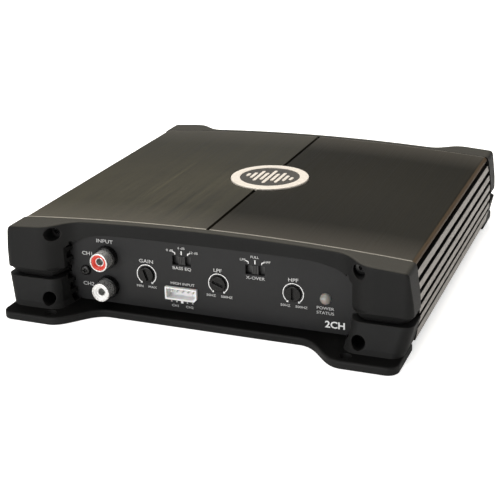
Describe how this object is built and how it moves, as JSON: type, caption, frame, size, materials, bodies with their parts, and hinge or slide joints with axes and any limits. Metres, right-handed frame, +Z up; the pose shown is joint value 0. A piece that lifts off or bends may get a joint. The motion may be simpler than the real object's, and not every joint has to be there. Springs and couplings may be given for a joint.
{
  "type": "car amplifier",
  "caption": "Car audio amplifier: finned heatsink body with arched top, moulded end caps with mounting feet, input controls in front, screw terminals behind.",
  "frame": {"origin": "centre of the footprint, on the plane the four feet stand on", "axes": "+X to the right seen from the control panel, -Y out of the control panel, +Y out of the terminal panel, +Z up"},
  "size_m": [0.1848, 0.203, 0.0433],
  "materials": {
    "sink_aluminium": "brushed dark bronze-grey anodised top, machined bright fin tips",
    "plated_steel": "zinc plated",
    "cap_plastic": "fine-textured charcoal",
    "black_steel": "black oxide",
    "panel_paint": "satin charcoal paint with white print",
    "badge_metal": "satin",
    "badge_enamel": "semi-gloss",
    "black_moulding": "moulded",
    "nickel": "bright nickel",
    "red_insulator": "moulded",
    "white_insulator": "moulded",
    "knob_plastic": "moulded",
    "slider_plastic": "moulded",
    "white_nylon": "moulded",
    "tin": "tin plated",
    "lens": "diffused lens",
    "circuit_board": "solder mask",
    "brass": "turned",
    "ferrite": "coated",
    "copper_wire": "enamelled",
    "capacitor_sleeve": "shrink sleeve",
    "pad_rubber": "silicone",
    "fuse_plastic": "tinted clear"
  },
  "bodies": {
    "root": {"board_link_pins": "tin", "bottom_cover": "plated_steel", "clamp_bars": "plated_steel", "clamp_screws": "plated_steel", "control_board": "circuit_board", "cover_screws": "plated_steel", "emblem_inlay": "badge_enamel", "emblem_plate": "badge_metal", "end_cap_screws": "black_steel", "front_end_cap": "cap_plastic", "front_panel": "panel_paint", "fuse_clips": "tin", "fuse_holder": "black_moulding", "header_pins": "tin", "heatsink": "sink_aluminium", "high_input_header": "white_nylon", "input_capacitors": "capacitor_sleeve", "insulating_pads": "pad_rubber", "main_board": "circuit_board", "pcb_screws": "plated_steel", "pcb_standoffs": "brass", "pot_bodies": "black_moulding", "power_led": "lens", "power_terminal_block": "black_moulding", "power_transistors": "black_moulding", "rail_capacitors": "capacitor_sleeve", "rca_contacts": "tin", "rca_housing": "black_moulding", "rca_insert_red": "red_insulator", "rca_insert_white": "white_insulator", "rca_screw": "black_steel", "rca_shells": "nickel", "rear_end_cap": "cap_plastic", "rear_panel": "panel_paint", "signal_ics": "black_moulding", "speaker_terminal_block": "black_moulding", "switch_bodies": "plated_steel", "terminal_contacts": "nickel", "toroid_cores": "ferrite", "toroid_windings": "copper_wire"},
    "bass_eq": {"bass_eq_slider": "slider_plastic"},
    "fuse": {"blade_fuse": "fuse_plastic"},
    "crossover": {"crossover_slider": "slider_plastic"},
    "gain": {"gain_knob": "knob_plastic"},
    "hpf": {"hpf_knob": "knob_plastic"},
    "lpf": {"lpf_knob": "knob_plastic"},
    "power_ground_screw": {"power_ground_screw": "nickel"},
    "power_ground_clamp": {"power_ground_washer": "nickel"},
    "power_remote_screw": {"power_remote_screw": "nickel"},
    "power_remote_clamp": {"power_remote_washer": "nickel"},
    "power_supply_screw": {"power_supply_screw": "nickel"},
    "power_supply_clamp": {"power_supply_washer": "nickel"},
    "speaker_left_minus_screw": {"speaker_left_minus_screw": "nickel"},
    "speaker_left_minus_clamp": {"speaker_left_minus_washer": "nickel"},
    "speaker_left_plus_screw": {"speaker_left_plus_screw": "nickel"},
    "speaker_left_plus_clamp": {"speaker_left_plus_washer": "nickel"},
    "speaker_right_minus_screw": {"speaker_right_minus_screw": "nickel"},
    "speaker_right_minus_clamp": {"speaker_right_minus_washer": "nickel"},
    "speaker_right_plus_screw": {"speaker_right_plus_screw": "nickel"},
    "speaker_right_plus_clamp": {"speaker_right_plus_washer": "nickel"}
  },
  "joints": [
    {"name": "gain_turn", "type": "hinge", "parent": "root", "child": "gain", "pos_m": [-0.0289, -0.0775, 0.0193], "axis": [0, -1, 0], "range_deg": [-170, 130]},
    {"name": "lpf_turn", "type": "hinge", "parent": "root", "child": "lpf", "pos_m": [0.0049, -0.0775, 0.0193], "axis": [0, -1, 0], "range_deg": [-220, 80]},
    {"name": "hpf_turn", "type": "hinge", "parent": "root", "child": "hpf", "pos_m": [0.0386, -0.0775, 0.0193], "axis": [0, -1, 0], "range_deg": [-150, 150]},
    {"name": "bass_eq_slide", "type": "slide", "parent": "root", "child": "bass_eq", "axis": [1, 0, 0], "range_m": [-0.0028, 0.0028]},
    {"name": "crossover_slide", "type": "slide", "parent": "root", "child": "crossover", "axis": [1, 0, 0], "range_m": [-0.0028, 0.0028]},
    {"name": "fuse_pull", "type": "slide", "parent": "root", "child": "fuse", "axis": [0, 1, 0], "range_m": [0, 0.015]},
    {"name": "power_ground_lift", "type": "slide", "parent": "root", "child": "power_ground_clamp", "axis": [0, 1, 0], "range_m": [0, 0.0028]},
    {"name": "power_ground_turn", "type": "hinge", "parent": "power_ground_clamp", "child": "power_ground_screw", "pos_m": [0.026, 0.083, 0.02], "axis": [0, 1, 0], "range_deg": [0, 1441]},
    {"name": "power_remote_lift", "type": "slide", "parent": "root", "child": "power_remote_clamp", "axis": [0, 1, 0], "range_m": [0, 0.0028]},
    {"name": "power_remote_turn", "type": "hinge", "parent": "power_remote_clamp", "child": "power_remote_screw", "pos_m": [0.038, 0.083, 0.02], "axis": [0, 1, 0], "range_deg": [0, 1441]},
    {"name": "power_supply_lift", "type": "slide", "parent": "root", "child": "power_supply_clamp", "axis": [0, 1, 0], "range_m": [0, 0.0028]},
    {"name": "power_supply_turn", "type": "hinge", "parent": "power_supply_clamp", "child": "power_supply_screw", "pos_m": [0.05, 0.083, 0.02], "axis": [0, 1, 0], "range_deg": [0, 1441]},
    {"name": "speaker_right_minus_lift", "type": "slide", "parent": "root", "child": "speaker_right_minus_clamp", "axis": [0, 1, 0], "range_m": [0, 0.0028]},
    {"name": "speaker_right_minus_turn", "type": "hinge", "parent": "speaker_right_minus_clamp", "child": "speaker_right_minus_screw", "pos_m": [-0.0505, 0.083, 0.02], "axis": [0, 1, 0], "range_deg": [0, 1441]},
    {"name": "speaker_right_plus_lift", "type": "slide", "parent": "root", "child": "speaker_right_plus_clamp", "axis": [0, 1, 0], "range_m": [0, 0.0028]},
    {"name": "speaker_right_plus_turn", "type": "hinge", "parent": "speaker_right_plus_clamp", "child": "speaker_right_plus_screw", "pos_m": [-0.0395, 0.083, 0.02], "axis": [0, 1, 0], "range_deg": [0, 1441]},
    {"name": "speaker_left_minus_lift", "type": "slide", "parent": "root", "child": "speaker_left_minus_clamp", "axis": [0, 1, 0], "range_m": [0, 0.0028]},
    {"name": "speaker_left_minus_turn", "type": "hinge", "parent": "speaker_left_minus_clamp", "child": "speaker_left_minus_screw", "pos_m": [-0.0285, 0.083, 0.02], "axis": [0, 1, 0], "range_deg": [0, 1441]},
    {"name": "speaker_left_plus_lift", "type": "slide", "parent": "root", "child": "speaker_left_plus_clamp", "axis": [0, 1, 0], "range_m": [0, 0.0028]},
    {"name": "speaker_left_plus_turn", "type": "hinge", "parent": "speaker_left_plus_clamp", "child": "speaker_left_plus_screw", "pos_m": [-0.0175, 0.083, 0.02], "axis": [0, 1, 0], "range_deg": [0, 1441]}
  ],
  "couplings": [
    {"joint": "power_ground_turn", "follows": "power_ground_lift", "rad_per_m": 8976},
    {"joint": "power_remote_turn", "follows": "power_remote_lift", "rad_per_m": 8976},
    {"joint": "power_supply_turn", "follows": "power_supply_lift", "rad_per_m": 8976},
    {"joint": "speaker_right_minus_turn", "follows": "speaker_right_minus_lift", "rad_per_m": 8976},
    {"joint": "speaker_right_plus_turn", "follows": "speaker_right_plus_lift", "rad_per_m": 8976},
    {"joint": "speaker_left_minus_turn", "follows": "speaker_left_minus_lift", "rad_per_m": 8976},
    {"joint": "speaker_left_plus_turn", "follows": "speaker_left_plus_lift", "rad_per_m": 8976}
  ]
}
